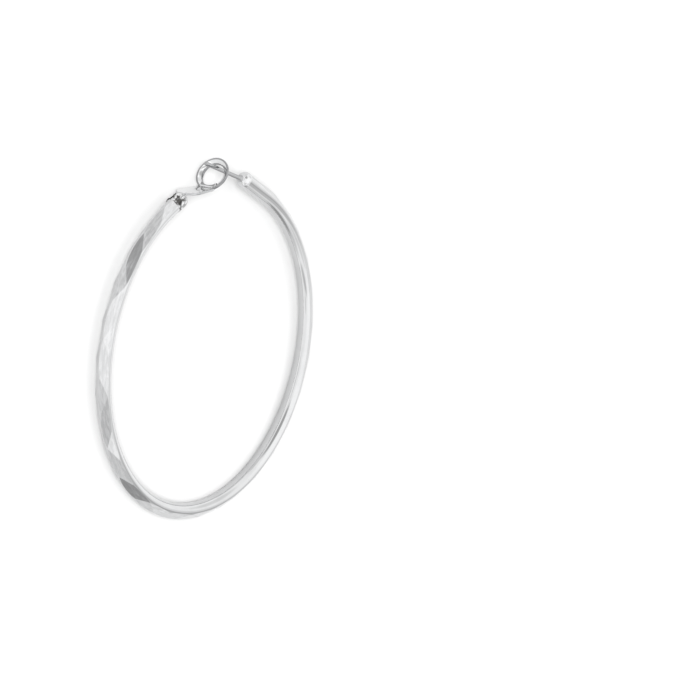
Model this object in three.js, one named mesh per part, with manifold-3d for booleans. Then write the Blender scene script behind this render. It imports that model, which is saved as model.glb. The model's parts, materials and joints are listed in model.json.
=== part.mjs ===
// Hoop earring of polished silver-coloured metal, in millimetres with +Z up.
// A hollow round tube is bent to an open hoop, and its outer half is cut with flat diamond facets.
// One end carries a domed cap with the ear post, the other a hinged catch whose ring closes over the post.
// The hoop lies on its side, as it rests by itself, on the tube and on the lowest point of the catch's ring.
import * as THREE from "three";
import { mergeVertices } from "three/addons/utils/BufferGeometryUtils.js";
import Module from "manifold-3d";

const wasm = await Module();
wasm.setup();

// Hoop tube. Angles are in degrees, anticlockwise from +X round the hoop's centre, seen from +Z.
const hoopRadius = 31; // from the hoop's centre to the middle of the tube
const tubeRadius = 1.5;
const tubeWall = 0.5;
const hingeEndAngle = 114; // where the tube ends beside the hinge
const bendEndAngle = 420.4; // where the bend ends, one turn past 60.4
const straightRun = 7.1; // straight length of tube from there to the ear post's cap
const tubeSteps = 112;
const tubeSides = 24;
const boreSteps = 56;
const boreSides = 16;

// Diamond facets, in rows of triangles on both sides of the hoop's outer edge.
const facetPitch = 12.4; // degrees from one facet to the next
const facetMargin = 4.1; // degrees from the hinge end of the tube to the first facet's corner
const facetLowLatitude = 12; // degrees round the tube from its outermost line
const facetHighLatitude = 72;
const flatReach = 5; // how far a cutter reaches from the facet's middle along the tube
const flatWidth = 1.6; // and round the tube
const cutterDepth = 1;

// Plugs that close the tube's ends
const plugLength = 2;
const plugChamfer = 0.2;
const plugClearance = 0.12; // round the plug, in the bore
const seamGap = 0.05; // between the tube's end face and what is seated on it
const seatRim = 0.1; // from the tube's end face to where a dome or slot begins

// Domed cap and ear post
const capRadius = 1.56;
const postRadius = 0.4;
const postLength = 13.3; // from the middle of the dome to the tip
const postBend = 8.9; // degrees that the post leans in from the straight run
const postTipChamfer = 0.12;
const collarRadius = 0.72;
const collarStart = 1.43; // from the middle of the dome
const collarLength = 0.55;

// Hinge bracket: a round-nosed fork in line with the tube's end
const forkLength = 2.1; // from the tube's end to the middle of the nose
const noseLength = 1.4;
const slotWidth = 2.1;
const slotFloor = -0.74; // height of the slot's floor over the tube's middle line
const pivotAlong = 1; // the hinge line, from the tube's end along the fork
const pivotHeight = 0.2; // and outwards from the tube's middle line

// Hinge pin with two riveted heads
const pinRadius = 0.32;
const pinClearance = 0.04;
const headRadius = 0.62;
const headHeight = 0.38;

// Catch: a strip of sheet with a dished ring at its end. Places are measured from the hinge line.
const sheet = 0.55;
const knuckleRadius = 0.8;
const tongueWidth = 1.95;
const paddleHeight = 1.54; // the strip's middle over the hinge line
const shoulderReach = 1.9; // where the tongue has turned into the strip
const shoulderRise = 0.38; // how far along the strip its turn from the hinge begins
const paddleStart = 1.55; // where the strip begins to widen
const paddleFlare = 2.6; // length over which it widens
const paddleWidth = 4.9;
const bendReach = 9.25; // where the strip turns up into the ring
const bendLength = 0.7;
const ringLean = 54; // degrees between the strip and the ring's plane
const ringReach = 2.83; // from the bend to the middle of the ring's hole
const holeRadius = 2.3;
const ringFace = 0.96; // width of the ring's face
const ringDish = 0.5; // how far the ring's rim stands proud of its hole
const ringRound = 0.08; // how far the rim's edge is rounded out
const ringNeck = 3.1; // width to which the paddle narrows where it ends in the ring

// Fineness of the round shapes
const domeSteps = 9;
const domeSides = 24;
const pinSides = 16;
const stripSteps = 36;
const ringSides = 32;

const degree = Math.PI / 180;
const up = new THREE.Vector3(0, 0, 1);

// The catch's side view: the strip's bend, the way its ring runs from there, and the ring's middle.
const bend = new THREE.Vector2(bendReach, paddleHeight);
const ringway = new THREE.Vector2(Math.cos(ringLean * degree), Math.sin(ringLean * degree));
const ringMiddle = bend.clone().addScaledVector(ringway, ringReach);

const silver = { color: 0xd6d8da, metalness: 1, roughness: 0.14 };
const silverShade = { color: 0xc9cbce, metalness: 1, roughness: 0.2 };

// A closed geometry as a solid whose faces point out.
function solidOf(geometry) {
  const bare = geometry.clone();
  bare.deleteAttribute("normal");
  bare.deleteAttribute("uv");
  const merged = mergeVertices(bare, 1e-4);
  const vertProperties = new Float32Array(merged.attributes.position.array);
  const triVerts = new Uint32Array(merged.index.array);
  const made = new wasm.Manifold(new wasm.Mesh({ numProp: 3, vertProperties, triVerts }));
  if (made.volume() > 0) return made;
  const turned = triVerts.slice();
  for (let i = 0; i < turned.length; i += 3) {
    turned[i] = triVerts[i + 1];
    turned[i + 1] = triVerts[i];
  }
  return new wasm.Manifold(new wasm.Mesh({ numProp: 3, vertProperties, triVerts: turned }));
}

function meshOf(solid, name, finish) {
  const result = solid.getMesh();
  const geometry = new THREE.BufferGeometry();
  geometry.setAttribute("position", new THREE.BufferAttribute(result.vertProperties, 3));
  geometry.setIndex(new THREE.BufferAttribute(result.triVerts, 1));
  geometry.computeVertexNormals();
  const mesh = new THREE.Mesh(geometry, new THREE.MeshStandardMaterial(finish));
  mesh.name = name;
  return mesh;
}

// A point in the hoop's plane at an angle round the hoop.
function onHoop(angle, radius) {
  return new THREE.Vector3(Math.cos(angle * degree), Math.sin(angle * degree), 0).multiplyScalar(radius);
}

// The direction in which the tube runs at an angle, towards larger angles.
function along(angle) {
  return new THREE.Vector3(-Math.sin(angle * degree), Math.cos(angle * degree), 0);
}

// The tube's middle line, from the hinge end round to the cap, and on past both ends by the overrun.
class HoopLine extends THREE.Curve {
  constructor(overrun) {
    super();
    this.overrun = overrun;
  }

  getPoint(t, target = new THREE.Vector3()) {
    const arc = (bendEndAngle - hingeEndAngle) * degree * hoopRadius;
    const travelled = t * (arc + straightRun + 2 * this.overrun) - this.overrun;
    const onArc = Math.min(Math.max(travelled, 0), arc);
    const angle = hingeEndAngle + onArc / hoopRadius / degree;
    return target.copy(onHoop(angle, hoopRadius)).addScaledVector(along(angle), travelled - onArc);
  }
}

function tubeAlong(radius, sides, steps, overrun) {
  const section = new THREE.Shape();
  for (let i = 0; i < sides; i += 1) {
    const turn = ((i + 0.5) / sides) * 2 * Math.PI;
    const x = radius * Math.cos(turn);
    const y = radius * Math.sin(turn);
    if (i === 0) section.moveTo(x, y);
    else section.lineTo(x, y);
  }
  section.closePath();
  const extrudePath = new HoopLine(overrun);
  return new THREE.ExtrudeGeometry(section, { steps, extrudePath, bevelEnabled: false });
}

// A point on the round tube: an angle round the hoop and a latitude round the tube.
function onTube(angle, latitude) {
  const height = tubeRadius * Math.sin(latitude * degree);
  return onHoop(angle, hoopRadius + tubeRadius * Math.cos(latitude * degree)).setZ(height);
}

// The block that cuts one flat: its lower face holds the facet's three corners.
function flatCutter(corners, outward) {
  const middle = new THREE.Vector3();
  corners.forEach((corner) => middle.addScaledVector(corner, 1 / corners.length));
  const edge = corners[1].clone().sub(corners[0]);
  const normal = edge.cross(corners[2].clone().sub(corners[0])).normalize();
  if (normal.dot(outward) < 0) normal.negate();
  const across = new THREE.Vector3().crossVectors(normal, up).normalize();
  const round = new THREE.Vector3().crossVectors(normal, across);
  const block = new THREE.BoxGeometry(2 * flatReach, 2 * flatWidth, cutterDepth);
  block.translate(0, 0, cutterDepth / 2);
  block.applyMatrix4(new THREE.Matrix4().makeBasis(across, round, normal).setPosition(middle));
  return solidOf(block);
}

function facetCutters() {
  const first = hingeEndAngle + facetMargin;
  const count = Math.floor((bendEndAngle - first) / facetPitch);
  const cutters = [];
  for (const side of [1, -1]) {
    const low = side * facetLowLatitude;
    const high = side * facetHighLatitude;
    for (let i = 0; i <= count; i += 1) {
      const angle = first + i * facetPitch;
      const before = angle - facetPitch / 2;
      const after = angle + facetPitch / 2;
      const hanging = [onTube(angle, low), onTube(before, high), onTube(after, high)];
      cutters.push(flatCutter(hanging, onHoop(angle, 1).setZ(side)));
      if (i === count) continue;
      const standing = [onTube(after, high), onTube(angle, low), onTube(angle + facetPitch, low)];
      cutters.push(flatCutter(standing, onHoop(after, 1).setZ(side)));
    }
  }
  return cutters;
}

function hoopTube() {
  let tube = solidOf(tubeAlong(tubeRadius, tubeSides, tubeSteps, 0));
  facetCutters().forEach((cutter) => {
    tube = tube.subtract(cutter);
  });
  const bore = solidOf(tubeAlong(tubeRadius - tubeWall, boreSides, boreSteps, tubeWall));
  return meshOf(tube.subtract(bore), "hoop_tube", silver);
}

// A turned solid about its own Y axis from [radius, height] pairs that start and end on the axis.
function turned(profile, sides) {
  return new THREE.LatheGeometry(profile.map(([radius, height]) => new THREE.Vector2(radius, height)), sides);
}

// The plug below a cap or fork, then its dome, as pairs for a turned solid.
function pluggedDome(radius, start, domeLength) {
  const plug = tubeRadius - tubeWall - plugClearance;
  const profile = [
    [0, -plugLength],
    [plug - plugChamfer, -plugLength],
    [plug, plugChamfer - plugLength],
    [plug, seamGap],
    [radius, seamGap],
  ];
  for (let i = 0; i < domeSteps; i += 1) {
    const turn = (i / domeSteps) * 90 * degree;
    profile.push([radius * Math.cos(turn), start + domeLength * Math.sin(turn)]);
  }
  profile.push([0, start + domeLength]);
  return profile;
}

function earPost() {
  const cap = solidOf(turned(pluggedDome(capRadius, seatRim, capRadius), domeSides));
  const pin = turned(
    [
      [0, 0],
      [collarRadius, 0],
      [collarRadius, collarStart],
      [postRadius, collarStart + collarLength],
      [postRadius, postLength - postTipChamfer],
      [postRadius - postTipChamfer, postLength],
      [0, postLength],
    ],
    pinSides,
  );
  pin.rotateZ(postBend * degree);
  return meshOf(cap.add(solidOf(pin)), "ear_post", silver);
}

function pivotRoom(radius, width) {
  const room = new THREE.CylinderGeometry(radius, radius, width, domeSides);
  room.rotateX(90 * degree);
  return room;
}

// The fork stands along its own +Y, with the hoop's outer side towards -X.
function hingeBracket() {
  let fork = solidOf(turned(pluggedDome(tubeRadius, forkLength, noseLength), domeSides));
  const slotLength = forkLength + noseLength;
  const slotTop = 2 * tubeRadius;
  const slot = new THREE.BoxGeometry(slotTop - slotFloor, slotLength, slotWidth);
  slot.translate(-(slotTop + slotFloor) / 2, seatRim + slotLength / 2, 0);
  fork = fork.subtract(solidOf(slot));
  const hole = pivotRoom(pinRadius + pinClearance, 4 * tubeRadius);
  hole.translate(-pivotHeight, pivotAlong, 0);
  return meshOf(fork.subtract(solidOf(hole)), "hinge_bracket", silverShade);
}

function hingePin() {
  const seat = tubeRadius + seamGap;
  const profile = [[0, -seat - headHeight]];
  for (let i = 1; i < domeSteps; i += 2) {
    const turn = (i / domeSteps) * 90 * degree;
    profile.push([headRadius * Math.sin(turn), -seat - headHeight * Math.cos(turn)]);
  }
  profile.push([headRadius, -seat], [pinRadius, -seat]);
  const other = profile.map(([radius, height]) => [radius, -height]).reverse();
  const pin = turned(profile.concat(other), pinSides);
  pin.rotateX(90 * degree);
  return meshOf(solidOf(pin), "hinge_pin", silverShade);
}

// The outline of a strip of sheet seen from its edge, half the thickness to each side of a line.
function edgeView(line) {
  const one = [];
  const other = [];
  for (let i = 0; i <= stripSteps; i += 1) {
    const point = line.getPointAt(i / stripSteps);
    const run = line.getTangentAt(i / stripSteps);
    one.push(new THREE.Vector2(point.x - (run.y * sheet) / 2, point.y + (run.x * sheet) / 2));
    other.unshift(new THREE.Vector2(point.x + (run.y * sheet) / 2, point.y - (run.x * sheet) / 2));
  }
  return new THREE.Shape(one.concat(other));
}

function plate(shape, depth) {
  const made = new THREE.ExtrudeGeometry(shape, { depth, bevelEnabled: false, curveSegments: domeSteps });
  made.translate(0, 0, -depth / 2);
  return made;
}

function claspLever() {
  const ringRadius = holeRadius + ringFace;
  const line = new THREE.CurvePath();
  const shoulder = new THREE.Vector2(shoulderReach, paddleHeight);
  const beforeBend = new THREE.Vector2(bendReach - bendLength, paddleHeight);
  const afterBend = bend.clone().addScaledVector(ringway, bendLength);
  const inRing = bend.clone().addScaledVector(ringway, bendLength + ringFace);
  const rise = new THREE.Vector2(shoulderRise, paddleHeight);
  line.add(new THREE.QuadraticBezierCurve(new THREE.Vector2(0, 0), rise, shoulder));
  line.add(new THREE.LineCurve(shoulder, beforeBend));
  line.add(new THREE.QuadraticBezierCurve(beforeBend, bend, afterBend));
  line.add(new THREE.LineCurve(afterBend, inRing));
  const strip = solidOf(plate(edgeView(line), 2 * ringRadius));

  // The blank's outline from above: the narrow tongue, then the paddle, which narrows towards the ring.
  const tongue = tongueWidth / 2;
  const paddle = paddleWidth / 2;
  const neck = ringNeck / 2;
  const wide = paddleStart + paddleFlare;
  const softStart = paddleStart + paddleFlare / 5;
  const softEnd = paddleStart + paddleFlare / 8;
  const outline = new THREE.Shape();
  outline.moveTo(-knuckleRadius, -tongue);
  outline.lineTo(paddleStart, -tongue);
  outline.bezierCurveTo(softStart, -tongue, softEnd, -paddle, wide, -paddle);
  outline.lineTo(inRing.x + sheet, -neck);
  outline.lineTo(inRing.x + sheet, neck);
  outline.lineTo(wide, paddle);
  outline.bezierCurveTo(softEnd, paddle, softStart, tongue, paddleStart, tongue);
  outline.lineTo(-knuckleRadius, tongue);
  outline.closePath();
  const blank = plate(outline, 4 * ringRadius);
  blank.rotateX(90 * degree);

  // The ring: its face slopes up from the hole to the rim, on the side towards the hinge.
  const ring = turned(
    [
      [holeRadius, -sheet],
      [ringRadius, ringDish - sheet],
      [ringRadius + ringRound, ringDish - sheet / 2],
      [ringRadius, ringDish],
      [holeRadius, 0],
      [holeRadius, -sheet],
    ],
    ringSides,
  );
  const hole = new THREE.CylinderGeometry(holeRadius, holeRadius, 4 * sheet, ringSides);
  const place = new THREE.Matrix4().makeRotationZ(ringLean * degree);
  place.setPosition(ringMiddle.x, ringMiddle.y, 0);
  ring.applyMatrix4(place);
  hole.applyMatrix4(place);

  const knuckle = pivotRoom(knuckleRadius, tongueWidth);
  const pinHole = pivotRoom(pinRadius + pinClearance, 2 * tongueWidth);
  let lever = strip.intersect(solidOf(blank)).subtract(solidOf(hole)).add(solidOf(ring));
  lever = lever.add(solidOf(knuckle)).subtract(solidOf(pinHole));
  return meshOf(lever, "clasp_lever", silver);
}

const hoop = new THREE.Group();
hoop.add(hoopTube());

const capSeat = new THREE.Group();
capSeat.position.copy(onHoop(bendEndAngle, hoopRadius)).addScaledVector(along(bendEndAngle), straightRun);
capSeat.rotation.z = bendEndAngle * degree;
capSeat.add(earPost());
hoop.add(capSeat);

const hinge = new THREE.Group();
hinge.position.copy(onHoop(hingeEndAngle, hoopRadius));
hinge.rotation.z = (hingeEndAngle + 180) * degree;
hinge.add(hingeBracket());
const pin = hingePin();
pin.position.set(-pivotHeight, pivotAlong, 0);
hinge.add(pin);
const lever = claspLever();
lever.position.copy(pin.position);
lever.rotation.z = -hinge.rotation.z;
hinge.add(lever);
hoop.add(hinge);

// The ring reaches lower than the tube, so the hoop leans on the ring and on the tube's far side.
const ringLow = new THREE.Vector3(ringMiddle.x, ringMiddle.y, -holeRadius - ringFace - ringRound);
hoop.updateMatrixWorld(true);
lever.localToWorld(ringLow);
hoop.rotation.x = Math.atan2(-ringLow.z - tubeRadius, ringLow.y + hoopRadius);

// The origin is the middle of the hoop's box on the floor.
const box = new THREE.Box3().setFromObject(hoop, true);
hoop.position.set(-(box.min.x + box.max.x) / 2, -(box.min.y + box.max.y) / 2, -box.min.z);

const earring = new THREE.Group();
earring.add(hoop);

export default earring;
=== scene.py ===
import json
from math import atan2, cos, hypot, pi, radians, sin

import bmesh
import bpy
from mathutils import Matrix, Vector


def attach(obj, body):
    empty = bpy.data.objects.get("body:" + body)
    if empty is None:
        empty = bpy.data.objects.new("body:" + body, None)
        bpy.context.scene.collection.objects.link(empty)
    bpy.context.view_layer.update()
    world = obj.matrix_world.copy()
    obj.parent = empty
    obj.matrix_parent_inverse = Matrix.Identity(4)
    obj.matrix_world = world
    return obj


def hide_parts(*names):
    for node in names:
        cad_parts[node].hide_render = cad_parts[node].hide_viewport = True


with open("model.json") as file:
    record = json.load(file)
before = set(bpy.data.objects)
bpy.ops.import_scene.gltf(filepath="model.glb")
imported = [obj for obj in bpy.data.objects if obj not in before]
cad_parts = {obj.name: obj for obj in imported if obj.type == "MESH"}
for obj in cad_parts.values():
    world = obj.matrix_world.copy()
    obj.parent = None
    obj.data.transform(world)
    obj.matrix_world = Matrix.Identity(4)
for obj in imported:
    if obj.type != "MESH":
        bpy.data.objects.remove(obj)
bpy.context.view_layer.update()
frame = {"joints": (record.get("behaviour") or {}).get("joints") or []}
print("frame loaded")

mm = 0.001
inDegrees = 180 / pi  # turns radians into degrees
weld = 1e-4  # millimetres within which two points are one
touch = 1e-5  # and within which a point lies on a cutting plane
joint = frame["joints"][0]
pivotPlace = Vector(joint["pos_m"])
lean = atan2(-joint["axis"][1], joint["axis"][2])  # the hoop leans on the catch's ring


# places on the hoop, in millimetres from its centre, before it leans

hoop = {
    "radius": 31.0,  # to the middle of the tube
    "tube": 1.5,
    "skin": 1.484,  # the round section as it shows, inside the solid's box
    "hingeEnd": 114.0,  # degrees round the hoop, where the tube ends at the hinge
    "bendEnd": 420.4,  # where the bend ends, one turn past 60.4
    "straight": 7.1,  # straight run from there to the cap
}


def onHoop(angle, radius):
    return Vector((cos(radians(angle)), sin(radians(angle)), 0)) * radius


def along(angle):
    return Vector((-sin(radians(angle)), cos(radians(angle)), 0))


def turnZ(degrees):
    return Matrix.Rotation(radians(degrees), 4, "Z")


hinge = {"pivotAlong": 1.0, "pivotHeight": 0.2}  # the rivet's place in the fork
hingePlace = Matrix.Translation(onHoop(hoop["hingeEnd"], hoop["radius"])) @ turnZ(hoop["hingeEnd"] + 180)
rivetPlace = hingePlace @ Matrix.Translation((-hinge["pivotHeight"], hinge["pivotAlong"], 0))
catchPlace = Matrix.Translation(rivetPlace.translation)
capCentre = onHoop(hoop["bendEnd"], hoop["radius"]) + along(hoop["bendEnd"]) * hoop["straight"]
capPlace = Matrix.Translation(capCentre) @ turnZ(hoop["bendEnd"])

tilt = Matrix.Rotation(lean, 4, "X")
shift = pivotPlace - tilt @ (catchPlace.translation * mm)
hoopPlace = Matrix.Translation(shift) @ tilt @ Matrix.Scale(mm, 4)


# camera, at the photo's angle to the hoop

camera = {
    "place": (-0.4459, 0.12295, 0.33887),
    "right": (0.5715, 0.02604, 0.82019),
    "up": (0.1613, 0.97645, -0.14348),
    "lens": 162.9,
    "clip": (0.01, 20),
}


def addCamera():
    right, up = Vector(camera["right"]).normalized(), Vector(camera["up"])
    back = right.cross(up).normalized()
    up = back.cross(right)
    turn = Matrix((right, up, back)).transposed().to_4x4()
    data = bpy.data.cameras.new("photo_camera")
    data.lens = camera["lens"]
    data.clip_start, data.clip_end = camera["clip"]
    made = bpy.data.objects.new("photo_camera", data)
    made.matrix_world = Matrix.Translation(camera["place"]) @ turn
    bpy.context.scene.collection.objects.link(made)
    bpy.context.scene.camera = made


addCamera()
print("camera set")


# shader maths: a wrapped socket adds its Math node for each operator

class Wire:
    def __init__(self, tree, socket):
        self.tree, self.socket = tree, socket

    def maths(self, operation, *others, flip=False):
        values = [self, *others]
        if flip:
            values.reverse()
        return self.tree.add("ShaderNodeMath", {"operation": operation}, dict(enumerate(values)))

    def __add__(self, other):
        return self.maths("ADD", other)

    def __sub__(self, other):
        return self.maths("SUBTRACT", other)

    def __mul__(self, other):
        return self.maths("MULTIPLY", other)

    def __truediv__(self, other):
        return self.maths("DIVIDE", other)

    def __rsub__(self, other):
        return self.maths("SUBTRACT", other, flip=True)

    def __rtruediv__(self, other):
        return self.maths("DIVIDE", other, flip=True)

    def __pow__(self, other):
        return self.maths("POWER", other)

    __radd__, __rmul__ = __add__, __mul__


class Tree:
    def __init__(self, tree):
        self.tree = tree
        tree.nodes.clear()

    # adds a node: its settings first, then the values or links of its sockets, and gives back one output
    def add(self, kind, settings=None, sockets=None, output=0):
        node = self.tree.nodes.new(kind)
        for name, value in (settings or {}).items():
            setattr(node, name, value)
        for name, value in (sockets or {}).items():
            if isinstance(value, Wire):
                self.tree.links.new(value.socket, node.inputs[name])
            else:
                node.inputs[name].default_value = value
        return Wire(self, node.outputs[output]) if len(node.outputs) else node

    # rises softly from 0 to 1 between two values
    def ramp(self, value, low, high):
        sockets = {"Value": value, "From Min": low, "From Max": high}
        return self.add("ShaderNodeMapRange", {"interpolation_type": "SMOOTHSTEP"}, sockets)

    def parts(self, vector):
        first = self.add("ShaderNodeSeparateXYZ", None, {0: vector})
        return [Wire(self, output) for output in first.socket.node.outputs]

    def noise(self, vector, scale, detail):
        return self.add("ShaderNodeTexNoise", None, {"Vector": vector, "Scale": scale, "Detail": detail})

    # from one colour to the other
    def mix(self, share, one, other):
        sockets = {0: share, 6: one, 7: other}
        return self.add("ShaderNodeMix", {"data_type": "RGBA"}, sockets, output=2)


# polished silver-coloured plating

plating = {
    "colour": (0.55, 0.553, 0.557, 1),  # the round tube
    "cut": (0.58, 0.583, 0.588, 1),  # the facets
    "soldered": (0.6, 0.603, 0.608, 1),  # cap, fork and rivet
    "bright": (0.73, 0.733, 0.737, 1),  # the catch's faces
    "side": (0.42, 0.423, 0.428, 1),  # the cut sides of the catch's strip
    "darkRim": (0.3, 0.303, 0.307, 1),  # the rims of its ring
    "steel": (0.36, 0.363, 0.367, 1),  # the bare ear wire
    "paintedShade": (0.09, 0.088, 0.085, 1),  # painted shade for corners, gaps and the joint round the rivet
    "roughness": 0.07,
    "clouding": 0.04,  # how much rougher the clouded places are
    "cloudSize": 220,  # noise scale, per metre
    "cloudFrom": 0.42,  # noise value where clouding begins
    "cloudTo": 0.72,
    "cloudShare": 0.5,
    "cloudDark": 0.9,  # a clouded place's colour against the clean one's
    "grainSize": 9000,
    "grain": 0.02,  # spread of the roughness from grain to grain
    "corner": 0.0011,  # metres from a wall where painted shade begins
    "cornerFrom": 0.4,  # openness below which a corner is fully darkened by painted shade
    "cornerTo": 0.7,
    "cornerSpread": 0.4,
    "blotSize": 1100,  # blotches of painted shade round the rivet, noise scale per metre
    "blotFrom": 0.44,
    "blotTo": 0.56,
    "shadeFadeFrom": 0.0016,  # metres from the rivet's middle where they thin out
    "shadeFadeTo": 0.0026,
    "paintedShadeRough": 0.3,
    "hairlines": 0.012,  # depth of the polishing marks
    "hairLength": 40,  # noise scale round the hoop, per radian
    "hairFine": 26000,  # and across it, per metre
    "markLength": 16,  # the cutting tool's marks, in the same way
    "markFine": 2400,
    "markFrom": 0.35,
    "markTo": 0.65,
    "markDark": 0.86,  # a mark's colour against the clean one's
    "waves": 250,  # slow dents that the cutting tool leaves in a facet, per metre
    "bump": 0.25,
    "bumpDepth": 0.0002,
}


def darker(colour, share):
    return (*(part * share for part in colour[:3]), 1)


# colour and roughness of one plating; cut facets have waves and tool marks; painted shade darkens corners,
# gaps and the metal round the rivet
def platingMaterial(name, colour, roughness=plating["roughness"], cutMarks=0.0, waves=0.0, paintedShade=0.0):
    made = bpy.data.materials.new(name)
    made.use_nodes = True
    tree = Tree(made.node_tree)
    places = tree.add("ShaderNodeTexCoord", output=3)
    cloud = tree.noise(places, plating["cloudSize"], 4)
    grain = tree.noise(places, plating["grainSize"], 2)
    clouded = tree.ramp(cloud, plating["cloudFrom"], plating["cloudTo"])
    shade = tree.mix(clouded * plating["cloudShare"], colour, darker(colour, plating["cloudDark"]))
    rough = clouded * plating["clouding"] + roughness + (grain - 0.5) * plating["grain"]
    # painted shade: ambient occlusion darkens the colour in corners and gaps, and noise blotches darken it
    # round the rivet
    if paintedShade:
        sockets = {"Distance": plating["corner"]}
        openness = tree.add("ShaderNodeAmbientOcclusion", {"samples": 6}, sockets, output=1)
        openness = openness + (cloud - 0.5) * plating["cornerSpread"]
        paintedShadeMask = 1 - tree.ramp(openness, plating["cornerFrom"], plating["cornerTo"])
        sockets = {0: places, 1: pivotPlace}
        away = tree.add("ShaderNodeVectorMath", {"operation": "DISTANCE"}, sockets, output=1)
        blots = tree.noise(places, plating["blotSize"], 3)
        near = 1 - tree.ramp(away, plating["shadeFadeFrom"], plating["shadeFadeTo"])
        shadeBlots = tree.ramp(blots, plating["blotFrom"], plating["blotTo"]) * near
        paintedShadeMask = paintedShadeMask.maths("MAXIMUM", shadeBlots) * paintedShade
        shade = tree.mix(paintedShadeMask, shade, plating["paintedShade"])
        rough = rough + paintedShadeMask * plating["paintedShadeRough"]

    # hairlines run round the hoop: fine noise along the angle about its centre
    moved = tree.add("ShaderNodeMapping", None, {"Vector": places, "Location": (-shift.x, -shift.y, 0)})
    x, y, z = tree.parts(moved)
    angle = y.maths("ARCTAN2", x)
    reach = (x * x + y * y) ** 0.5
    across = plating["hairFine"]
    sockets = {0: angle * plating["hairLength"], 1: reach * across, 2: z * across}
    run = tree.add("ShaderNodeCombineXYZ", None, sockets)
    line = tree.noise(run, 1.0, 2)
    height = line * plating["hairlines"]
    if cutMarks:
        across = plating["markFine"]
        sockets = {0: angle * plating["markLength"], 1: reach * across, 2: z * across}
        run = tree.add("ShaderNodeCombineXYZ", None, sockets)
        marks = tree.noise(run, 1.0, 3)
        height = height + marks * cutMarks
        marked = tree.ramp(marks, plating["markFrom"], plating["markTo"])
        shade = tree.mix(marked, shade, darker(colour, plating["markDark"]))
    if waves:
        slow = tree.noise(places, plating["waves"], 2)
        height = height + slow * waves
    sockets = {"Strength": plating["bump"], "Distance": plating["bumpDepth"], "Height": height}
    bump = tree.add("ShaderNodeBump", None, sockets)
    shader = tree.add(
        "ShaderNodeBsdfPrincipled",
        None,
        {"Base Color": shade, "Metallic": 1.0, "Roughness": rough, "Normal": bump},
    )
    tree.add("ShaderNodeOutputMaterial", None, {"Surface": shader})
    return made


roundPlating = platingMaterial("polished_plating", plating["colour"])
facetPlating = platingMaterial("diamond_cut_plating", plating["cut"], roughness=0.1, cutMarks=0.2, waves=1.1)
# cap, post, hinge and catch get painted shade in their corners and round the rivet, in these amounts
capPlating = platingMaterial("cap_plating", plating["soldered"], roughness=0.09, paintedShade=0.6)
postSteel = platingMaterial("post_steel", plating["steel"], roughness=0.14, paintedShade=0.8)
hingePlating = platingMaterial("hinge_plating", plating["soldered"], roughness=0.1, paintedShade=1.0)
catchPlating = platingMaterial("catch_plating", plating["bright"], paintedShade=1.0)
darkRimPlating = platingMaterial("dark_rim_plating", plating["darkRim"], roughness=0.22)
sidePlating = platingMaterial("strip_side_plating", plating["side"], roughness=0.16)
print("platings made")


# helpers for the pieces

# a profile of radius and height, turned once round the Y axis
def turnedShape(profile, sides):
    bm = bmesh.new()
    verts = [bm.verts.new((radius, height, 0)) for radius, height in profile]
    edges = [bm.edges.new(pair) for pair in zip(verts, verts[1:])]
    bmesh.ops.spin(
        bm, geom=verts + edges, cent=(0, 0, 0), axis=(0, 1, 0), angle=2 * pi, steps=sides, use_merge=True
    )
    bmesh.ops.remove_doubles(bm, verts=bm.verts, dist=weld)
    bmesh.ops.dissolve_degenerate(bm, edges=bm.edges, dist=touch)
    bmesh.ops.recalc_face_normals(bm, faces=bm.faces)
    return bm


# the quarter turn of a dome, from its rim to its pole
def domeProfile(radius, start, length, steps):
    turns = [i / steps * pi / 2 for i in range(steps)]
    return [(radius * cos(turn), start + length * sin(turn)) for turn in turns] + [(0, start + length)]


# bevels the edges that turn by more than so many degrees
def softenEdges(bm, width, least=30):
    sharp = [e for e in bm.edges if len(e.link_faces) == 2 and e.calc_face_angle() > radians(least)]
    bmesh.ops.bevel(
        bm,
        geom=sharp,
        offset=width,
        affect="EDGES",
        segments=2,
        profile=0.5,
        material=-1,
        clamp_overlap=True,
    )


def placed(shape, matrix):
    bmesh.ops.transform(shape, matrix=matrix, verts=shape.verts)
    return shape


def cylinder(radius, depth, sides):
    bm = bmesh.new()
    bmesh.ops.create_cone(bm, cap_ends=True, segments=sides, radius1=radius, radius2=radius, depth=depth)
    return bm


def asObject(bm, name):
    data = bpy.data.meshes.new(name)
    bm.to_mesh(data)
    bm.free()
    made = bpy.data.objects.new(name, data)
    bpy.context.scene.collection.objects.link(made)
    return made


# joins or cuts two shapes and gives back the result as a bmesh
def combined(one, other, operation):
    base, tool = asObject(one, "base"), asObject(other, "tool")
    step = base.modifiers.new("combine", "BOOLEAN")
    step.operation, step.solver, step.object = operation, "EXACT", tool
    bpy.context.view_layer.update()
    result = base.evaluated_get(bpy.context.evaluated_depsgraph_get())
    bm = bmesh.new()
    bm.from_mesh(result.data)
    for spent in (base, tool):
        bpy.data.objects.remove(spent)
    bmesh.ops.remove_doubles(bm, verts=bm.verts, dist=weld)
    return bm


# places a finished shape on the hoop, shades it smooth between sharp edges and hands it to the frame
def finishPiece(bm, name, place, body, node, materials, sharpest=32):
    bmesh.ops.transform(bm, matrix=hoopPlace @ place, verts=bm.verts)
    bmesh.ops.recalc_face_normals(bm, faces=bm.faces)
    for face in bm.faces:
        face.smooth = True
    for edge in bm.edges:
        if len(edge.link_faces) == 2 and edge.calc_face_angle() > radians(sharpest):
            edge.smooth = False
    made = asObject(bm, name)
    for material in materials:
        made.data.materials.append(material)
    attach(made, body)
    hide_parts(node)


# the tube: a round section spun round the hoop, then cut with flat facets

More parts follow.
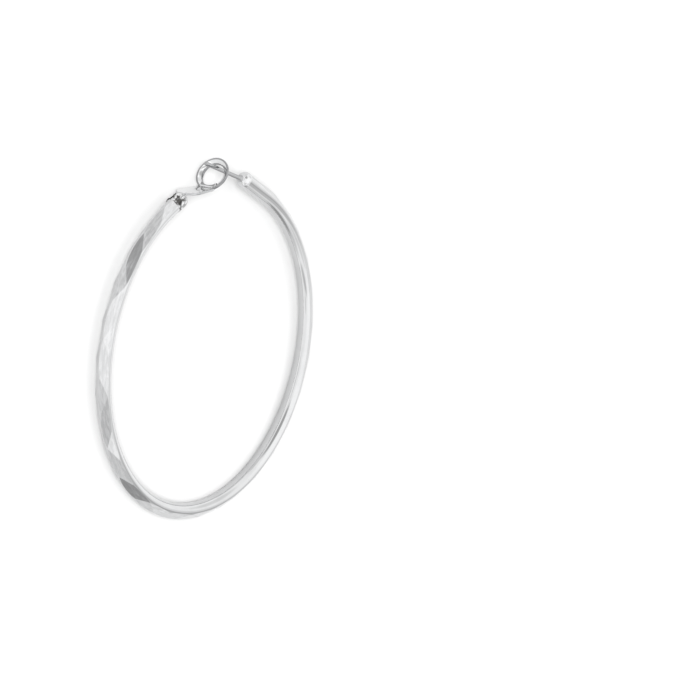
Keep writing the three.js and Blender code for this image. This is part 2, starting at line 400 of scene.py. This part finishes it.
tubeLook = {
    "sides": 72,
    "steps": 320,
    "straightSteps": 14,
    "pitch": 12.4,  # degrees from one facet to the next
    "margin": 4.1,
    "low": 12.0,  # latitude of the facets' corners round the tube
    "high": 72.0,
    "window": 11.5,  # degrees to each side of a facet where its plane may cut
    "inside": 30.0,  # faces nearer to the hoop's centre than this aren't cut
    "past": 0.5,  # how far over the tube's middle a facet's plane may cut
    "sharpest": 5.5,  # degrees between faces from which an edge shows
}


def onTube(angle, latitude):
    reach = hoop["radius"] + hoop["tube"] * cos(radians(latitude))
    return onHoop(angle, reach) + Vector((0, 0, hoop["tube"] * sin(radians(latitude))))


# the zigzag of triangles on both sides of the tube's outer half
def facetCorners():
    first = hoop["hingeEnd"] + tubeLook["margin"]
    count = int((hoop["bendEnd"] - first) / tubeLook["pitch"])
    half = tubeLook["pitch"] / 2
    for side in (1, -1):
        low, high = side * tubeLook["low"], side * tubeLook["high"]
        for i in range(count + 1):
            angle = first + i * tubeLook["pitch"]
            yield side, angle, [onTube(angle, low), onTube(angle - half, high), onTube(angle + half, high)]
            if i < count:
                yield side, angle + half, [
                    onTube(angle + half, high),
                    onTube(angle, low),
                    onTube(angle + 2 * half, low),
                ]


# degrees round the hoop from a point to an angle
def angleBetween(point, angle):
    return abs((atan2(point.y, point.x) * inDegrees - angle + 180) % 360 - 180)


# cuts one facet's plane through the tube near it and fills the cut
def cutFacet(bm, side, angle, corners):
    normal = (corners[1] - corners[0]).cross(corners[2] - corners[0]).normalized()
    if normal.dot(onHoop(angle, 1) + Vector((0, 0, side))) < 0:
        normal.negate()
    near = []
    for face in bm.faces:
        middle = face.calc_center_median()
        onSide = side * middle.z > -tubeLook["past"] and middle.to_2d().length > tubeLook["inside"]
        if onSide and angleBetween(middle, angle) < tubeLook["window"]:
            near.append(face)
    geom = {*near, *(e for f in near for e in f.edges), *(v for f in near for v in f.verts)}
    cut = bmesh.ops.bisect_plane(
        bm,
        geom=list(geom),
        dist=touch,
        plane_co=corners[0],
        plane_no=normal,
        clear_outer=True,
        clear_inner=False,
    )
    rim = [e for e in cut["geom_cut"] if isinstance(e, bmesh.types.BMEdge) and e.is_boundary]
    bmesh.ops.edgeloop_fill(bm, edges=rim, mat_nr=1, use_smooth=True)


def facetedTube():
    bm = bmesh.new()
    bmesh.ops.create_circle(bm, cap_ends=False, segments=tubeLook["sides"], radius=hoop["skin"])
    stand = Matrix.Rotation(pi / 2, 4, "X")  # the circle stands across the tube, at angle 0
    bmesh.ops.transform(bm, matrix=stand, verts=bm.verts)
    bmesh.ops.translate(bm, vec=(hoop["radius"], 0, 0), verts=bm.verts)
    bmesh.ops.transform(bm, matrix=turnZ(hoop["hingeEnd"]), verts=bm.verts)
    spun = bmesh.ops.spin(
        bm,
        geom=bm.verts[:] + bm.edges[:],
        cent=(0, 0, 0),
        axis=(0, 0, 1),
        angle=radians(hoop["bendEnd"] - hoop["hingeEnd"]),
        steps=tubeLook["steps"],
    )
    ends = [e for e in spun["geom_last"] if isinstance(e, bmesh.types.BMEdge)]
    step = along(hoop["bendEnd"]) * hoop["straight"] / tubeLook["straightSteps"]
    for _ in range(tubeLook["straightSteps"]):
        run = bmesh.ops.extrude_edge_only(bm, edges=ends)["geom"]
        moved = [v for v in run if isinstance(v, bmesh.types.BMVert)]
        ends = [e for e in run if isinstance(e, bmesh.types.BMEdge) and e.is_boundary]
        bmesh.ops.translate(bm, vec=step, verts=moved)
    bmesh.ops.holes_fill(bm, edges=[e for e in bm.edges if e.is_boundary], sides=0)
    bmesh.ops.recalc_face_normals(bm, faces=bm.faces)
    for side, angle, corners in facetCorners():
        cutFacet(bm, side, angle, corners)
    return bm


tubeLooks = [roundPlating, facetPlating]
sharpest = tubeLook["sharpest"]
finishPiece(facetedTube(), "faceted_tube", Matrix(), "hoop", "hoop_tube", tubeLooks, sharpest)
print("tube made")


# domed cap and ear post, soldered together

post = {
    "cap": 1.56,
    "seat": 0.1,  # from the tube's end face to where the dome begins
    "seam": 0.05,
    "wire": 0.4,
    "length": 13.3,
    "bend": 8.9,  # degrees that the post leans in
    "collar": 0.72,
    "collarStart": 1.43,
    "collarLength": 0.55,
    "tip": 0.12,
    "steelStart": 1.7,  # from the dome's middle, where the bare wire begins
    "rim": 0.05,  # the cap's back face is this much smaller than its dome
    "collarEdge": 0.92,  # the collar's shoulder, as a share of its radius
    "shoulder": 0.12,
    "foot": (0.06, 0.1),  # the flare where the wire leaves the collar: out and along
    "tipRound": 0.3,  # share of the tip's chamfer that is rounded off
    "domeSteps": 20,
    "capSides": 64,
    "wireSides": 40,
}


def capAndPost():
    rim = [(0, post["seam"]), (post["cap"] - post["rim"], post["seam"])]
    dome = domeProfile(post["cap"], post["seat"], post["cap"], post["domeSteps"])
    cap = turnedShape(rim + dome, post["capSides"])
    collarEnd = post["collarStart"] + post["collarLength"]
    footOut, footAlong = post["foot"]
    rounded = post["tip"] * post["tipRound"]
    wire = turnedShape(
        [
            (0, 0),
            (post["collar"], 0),
            (post["collar"], post["collarStart"]),
            (post["collar"] * post["collarEdge"], post["collarStart"] + post["shoulder"]),
            (post["wire"] + footOut, collarEnd - footAlong),
            (post["wire"], collarEnd),
            (post["wire"], post["length"] - post["tip"]),
            (post["wire"] - rounded, post["length"] - rounded),
            (post["wire"] - post["tip"], post["length"]),
            (0, post["length"]),
        ],
        post["wireSides"],
    )
    bmesh.ops.rotate(wire, cent=(0, 0, 0), matrix=turnZ(post["bend"]).to_3x3(), verts=wire.verts)
    bm = combined(cap, wire, "UNION")
    for face in bm.faces:
        face.material_index = int(face.calc_center_median().length > post["steelStart"])
    return bm


finishPiece(capAndPost(), "cap_and_post", capPlace, "hoop", "ear_post", [capPlating, postSteel])
print("cap and post made")


# hinge: a round-nosed fork and its rivet

fork = {
    "length": 2.1,
    "nose": 1.4,
    "slot": 2.1,
    "floor": 0.74,
    "seat": 0.1,
    "hole": 0.36,
    "edge": 0.06,
    "inset": 0.02,  # the fork's back face is this much smaller than the tube
    "cut": (3.0, 5.0),  # how far the slot's cut reaches sideways and along
    "holeDepth": 6.0,
    "domeSteps": 20,
    "sides": 64,
    "holeSides": 40,
}


def hingeFork():
    rim = [(0, post["seam"]), (hoop["tube"] - fork["inset"], post["seam"])]
    dome = domeProfile(hoop["tube"], fork["length"], fork["nose"], fork["domeSteps"])
    bm = turnedShape(rim + dome, fork["sides"])
    slot = bmesh.new()
    sideways, onward = fork["cut"]
    bmesh.ops.create_cube(slot, size=1)
    bmesh.ops.scale(slot, vec=(sideways + fork["floor"], onward, fork["slot"]), verts=slot.verts)
    middle = ((fork["floor"] - sideways) / 2, fork["seat"] + onward / 2, 0)
    bmesh.ops.translate(slot, vec=middle, verts=slot.verts)
    bm = combined(bm, slot, "DIFFERENCE")
    softenEdges(bm, fork["edge"])
    hole = cylinder(fork["hole"], fork["holeDepth"], fork["holeSides"])
    bmesh.ops.translate(hole, vec=(-hinge["pivotHeight"], hinge["pivotAlong"], 0), verts=hole.verts)
    return combined(bm, hole, "DIFFERENCE")


rivet = {"radius": 0.32, "head": 0.62, "height": 0.38, "seat": 1.55, "domeSteps": 14, "sides": 40}


def hingeRivet():
    turns = [i / rivet["domeSteps"] * pi / 2 for i in range(1, rivet["domeSteps"])]
    one = [(0, -rivet["seat"] - rivet["height"])]
    one += [(rivet["head"] * sin(t), -rivet["seat"] - rivet["height"] * cos(t)) for t in turns]
    one += [(rivet["head"], -rivet["seat"]), (rivet["radius"], -rivet["seat"])]
    bm = turnedShape(one + [(radius, -height) for radius, height in reversed(one)], rivet["sides"])
    bmesh.ops.rotate(bm, cent=(0, 0, 0), matrix=Matrix.Rotation(pi / 2, 3, "X"), verts=bm.verts)
    return bm


finishPiece(hingeFork(), "hinge_fork", hingePlace, "hoop", "hinge_bracket", [hingePlating])
finishPiece(hingeRivet(), "hinge_rivet", rivetPlace, "hoop", "hinge_pin", [hingePlating])
print("hinge made")


# catch: a flat blank bent into tongue, paddle and ring

catch = {
    "sheet": 0.55,
    "knuckle": 0.8,
    "tongue": 1.95,
    "height": 1.54,  # the strip's middle over the rivet
    "shoulder": 1.9,
    "shoulderRise": 0.38,
    "flareStart": 1.55,
    "flare": 2.6,
    "paddle": 4.9,
    "bend": 9.25,
    "bendLength": 0.7,
    "lean": 54.0,
    "ringReach": 2.83,
    "hole": 2.3,
    "face": 0.96,
    "dish": 0.5,
    "round": 0.078,
    "neck": 3.1,  # width to which the paddle narrows where it ends in the ring
    "edge": 0.12,
    "darkHoleRim": 0.16,  # depth of the darker band round the ring's hole
    "rim": 0.27,  # and at its outer rim
    "side": 0.5,  # how far a face must look sideways to be one of the strip's cut sides
    "soft": 0.1,  # how far the ring's edges are rounded
    "knuckleEdge": 0.06,
    "knuckleLeast": 60,  # only edges that turn by more degrees than this are softened
    "holeDepth": 2.2,
    "pivotDepth": 4.0,
    "curvePull": (5, 8),  # the flare's curve is pulled a fifth and an eighth of its length on
    "flareSteps": 12,
    "stationGap": 0.09,  # the shoulder bends in steps of this length
    "bendSteps": 16,
    "ringSides": 96,
    "knuckleSides": 48,
}


# the points of a curve pulled towards one control point, and how far along it each lies
def curveRun(start, control, end, steps=48):
    points = []
    for i in range(steps + 1):
        t = i / steps
        points.append(start * (1 - t) ** 2 + control * 2 * t * (1 - t) + end * t**2)
    runs = [0.0]
    for a, b in zip(points, points[1:]):
        runs.append(runs[-1] + (b - a).length)
    return points, runs


ringWay = Vector((cos(radians(catch["lean"])), sin(radians(catch["lean"]))))
bendCorner = Vector((catch["bend"], catch["height"]))
shoulderTop = Vector((catch["shoulder"], catch["height"]))
bendStart = bendCorner - Vector((catch["bendLength"], 0))
bendStop = bendCorner + ringWay * catch["bendLength"]
shoulderCurve = curveRun(Vector((0, 0)), Vector((catch["shoulderRise"], catch["height"])), shoulderTop)
bendCurve = curveRun(bendStart, bendCorner, bendStop)
shoulderLength, bendRun = shoulderCurve[1][-1], bendCurve[1][-1]


def alongCurve(curve, run):
    points, runs = curve
    run = min(max(run, 0), runs[-1])
    i = next((k for k in range(1, len(runs)) if runs[k] >= run), len(runs) - 1)
    share = (run - runs[i - 1]) / (runs[i] - runs[i - 1])
    return points[i - 1].lerp(points[i], share), (points[i] - points[i - 1]).normalized()


# where a point of the flat blank ends up, by its run along the strip and its height over the sheet's middle
def bent(run, height):
    if run < catch["shoulder"]:
        point, way = alongCurve(shoulderCurve, run - catch["shoulder"] + shoulderLength)
        point = point - way * max(catch["shoulder"] - shoulderLength - run, 0)
    elif run < bendStart.x:
        point, way = Vector((run, catch["height"])), Vector((1, 0))
    elif run < bendStart.x + bendRun:
        point, way = alongCurve(bendCurve, run - bendStart.x)
    else:
        point, way = bendStop + ringWay * (run - bendStart.x - bendRun), ringWay
    return point + Vector((-way.y, way.x)) * height


# the strip's half width from the tongue to the paddle
def flareOutline():
    tongue, paddle = catch["tongue"] / 2, catch["paddle"] / 2
    start, end = catch["flareStart"], catch["flareStart"] + catch["flare"]
    nearPull, farPull = catch["curvePull"]
    one, other = start + catch["flare"] / nearPull, start + catch["flare"] / farPull
    rows = []
    for i in range(catch["flareSteps"] + 1):
        t = i / catch["flareSteps"]
        weights = ((1 - t) ** 3, 3 * t * (1 - t) ** 2, 3 * t * t * (1 - t), t**3)
        x = sum(w * p for w, p in zip(weights, (start, one, other, end)))
        rows.append((x, sum(w * p for w, p in zip(weights, (tongue, tongue, paddle, paddle)))))
    return rows


# the flat blank, cut to its outline and softened, then bent
def catchBlank():
    stripEnd = bendStart.x + bendRun + catch["face"]
    back = catch["shoulder"] - shoulderLength
    half = [(back, catch["tongue"] / 2), *flareOutline()]
    wide, inRing = half[-1][0], bent(stripEnd, 0).x
    for run in (bendStart.x, bendStart.x + bendRun / 2, bendStart.x + bendRun, stripEnd):
        share = (bent(run, 0).x - wide) / (inRing + catch["sheet"] - wide)
        half.append((run, (catch["paddle"] + (catch["neck"] - catch["paddle"]) * share) / 2))
    bm = bmesh.new()
    outline = [(x, z) for x, z in half] + [(x, -z) for x, z in reversed(half)]
    flat = bm.faces.new([bm.verts.new((x, -catch["sheet"] / 2, z)) for x, z in outline])
    raised = bmesh.ops.extrude_face_region(bm, geom=[flat])
    top = [v for v in raised["geom"] if isinstance(v, bmesh.types.BMVert)]
    bmesh.ops.translate(bm, vec=(0, catch["sheet"], 0), verts=top)
    bmesh.ops.recalc_face_normals(bm, faces=bm.faces)
    rims = [e for e in bm.edges if abs(e.verts[0].co.y - e.verts[1].co.y) < touch]
    bmesh.ops.bevel(
        bm,
        geom=rims,
        offset=catch["edge"],
        affect="EDGES",
        segments=3,
        profile=0.5,
        material=-1,
        clamp_overlap=True,
    )
    gap = catch["stationGap"]
    stations = [back + i * gap for i in range(1, int((catch["shoulder"] - back) / gap) + 1)]
    stations += [bendStart.x + i * bendRun / catch["bendSteps"] for i in range(catch["bendSteps"] + 1)]
    for station in stations:
        geom = bm.verts[:] + bm.edges[:] + bm.faces[:]
        bmesh.ops.bisect_plane(bm, geom=geom, dist=touch, plane_co=(station, 0, 0), plane_no=(1, 0, 0))
    for vert in bm.verts:
        x, y = bent(vert.co.x, vert.co.y)
        vert.co.x, vert.co.y = x, y
    bmesh.ops.recalc_face_normals(bm, faces=bm.faces)
    return bm


# the dished ring; its rims have edges of their own, for the darker colour there
def catchRing():
    sheet, dish, soft = catch["sheet"], catch["dish"], catch["soft"]
    inner, outer = catch["hole"], catch["hole"] + catch["face"]
    rim = outer - catch["rim"]
    start = soft * 0.5
    atRim = start + (dish - start) * (rim - inner - soft) / (outer - inner - 2 * soft)
    profile = [
        (inner + soft, start - sheet),
        (rim, atRim - sheet),
        (outer - soft, dish - sheet),
        (outer + catch["round"] * 0.6, dish - sheet * 0.85),
        (outer + catch["round"], dish - sheet / 2),
        (outer + catch["round"] * 0.6, dish - sheet * 0.15),
        (outer - soft, dish),
        (rim, atRim),
        (inner + soft, start),
        (inner + soft * 0.3, -soft * 0.2),
        (inner, -soft),
        (inner, -sheet + soft),
        (inner + soft * 0.3, -sheet + soft * 0.2),
        (inner + soft, start - sheet),
    ]
    return turnedShape(profile, catch["ringSides"])


def catchLever():
    middle = bendCorner + ringWay * catch["ringReach"]
    ringPlace = Matrix.Translation((middle.x, middle.y, 0)) @ turnZ(catch["lean"])
    ring = placed(catchRing(), ringPlace)
    hole = cylinder(catch["hole"], catch["holeDepth"], catch["ringSides"])
    hole = placed(hole, ringPlace @ Matrix.Rotation(pi / 2, 4, "X"))
    knuckle = cylinder(catch["knuckle"], catch["tongue"], catch["knuckleSides"])
    softenEdges(knuckle, catch["knuckleEdge"], least=catch["knuckleLeast"])
    bm = combined(catchBlank(), hole, "DIFFERENCE")
    bm = combined(bm, ring, "UNION")
    bm = combined(bm, knuckle, "UNION")
    bm = combined(bm, cylinder(fork["hole"], catch["pivotDepth"], catch["knuckleSides"]), "DIFFERENCE")

    # the ring's rims and the strip's cut sides take darker colours
    outer = catch["hole"] + catch["face"]
    bm.normal_update()
    for face in bm.faces:
        place = ringPlace.inverted() @ face.calc_center_median()
        reach = hypot(place.x, place.z)
        inRing = reach < outer + catch["round"] and abs(place.y) < catch["dish"] + catch["sheet"]
        onRim = reach < catch["hole"] + catch["darkHoleRim"] or reach > outer - catch["rim"]
        onSide = abs(face.normal.z) > catch["side"]
        face.material_index = int(onRim) if inRing else 2 * int(onSide)
    return bm


catchLooks = [catchPlating, darkRimPlating, sidePlating]
finishPiece(catchLever(), "catch_lever", catchPlace, "lever", "clasp_lever", catchLooks)
print("catch made")


# pale floor and soft studio light

floor = {"size": 6.0, "colour": (0.54, 0.54, 0.54, 1), "roughness": 0.7, "gloss": 0.1}


def addFloor():
    bm = bmesh.new()
    bmesh.ops.create_grid(bm, x_segments=1, y_segments=1, size=floor["size"])
    made = asObject(bm, "floor")
    finish = bpy.data.materials.new("pale_floor")
    finish.use_nodes = True
    tree = Tree(finish.node_tree)
    sockets = {"Base Color": floor["colour"], "Roughness": floor["roughness"]}
    sockets["Specular IOR Level"] = floor["gloss"]
    shader = tree.add("ShaderNodeBsdfPrincipled", None, sockets)
    tree.add("ShaderNodeOutputMaterial", None, {"Surface": shader})
    made.data.materials.append(finish)


# a white tent with grey panels: azimuth from +X, elevation, reach to each side in degrees, darkness
tent = {
    "side": 1.8,
    "roof": 2.0,
    "roofFrom": 46,
    "roofTo": 60,
    "core": 0.25,  # a panel is fully dark within half its reach, which is squared here
    "panels": [
        (113, 40, 29, 22, 0.58),
        (90, 23, 15, 10, 0.3),
        (-84, 11, 20, 13, 0.5),
        (-90, 14, 36, 24, 0.3),
        (-129, 34, 13, 22, 0.38),
        (-150, 29, 9, 9, 0.25),
        (-42, 34, 26, 20, 0.42),
        (-20, 36, 22, 9, 0.2),
        (-40, 60, 30, 14, 0.22),
        (156, 25, 26, 4, 0.5),
        (35, 30, 26, 16, 0.2),
        (-80, 48, 22, 14, 0.25),
        (90, 8, 50, 9, 0.3),
    ],
}


def addTent():
    world = bpy.data.worlds.new("pale_tent")
    world.use_nodes = True
    bpy.context.scene.world = world
    tree = Tree(world.node_tree)
    way = tree.add("ShaderNodeTexCoord", output=0)
    x, y, z = tree.parts(way)
    height = z.maths("ARCSINE") * inDegrees
    turn = y.maths("ARCTAN2", x) * inDegrees
    light = tree.ramp(height, tent["roofFrom"], tent["roofTo"]) * (tent["roof"] - tent["side"]) + tent["side"]
    for azimuth, elevation, wide, high, dark in tent["panels"]:
        aside = (turn - azimuth + 540).maths("MODULO", 360) - 180
        reach = (aside / wide) ** 2 + ((height - elevation) / high) ** 2
        light = light * (1 - (1 - tree.ramp(reach, tent["core"], 1.0)) * dark)
    background = tree.add("ShaderNodeBackground", None, {"Strength": light})
    tree.add("ShaderNodeOutputWorld", None, {"Surface": background})


softbox = {"place": (-1.55, 0.43, 1.18), "size": 0.9, "power": 58}


def addSoftbox():
    data = bpy.data.lights.new("front_softbox", "AREA")
    data.shape, data.size, data.energy = "DISK", softbox["size"], softbox["power"]
    made = bpy.data.objects.new("front_softbox", data)
    made.location = softbox["place"]
    made.rotation_euler = (-Vector(softbox["place"])).to_track_quat("-Z", "Y").to_euler()
    made.visible_glossy = False  # it fills the shadows and isn't mirrored in the metal
    bpy.context.scene.collection.objects.link(made)


addFloor()
addTent()
addSoftbox()
bpy.context.scene.view_settings.view_transform = "Standard"
print("floor and light set")
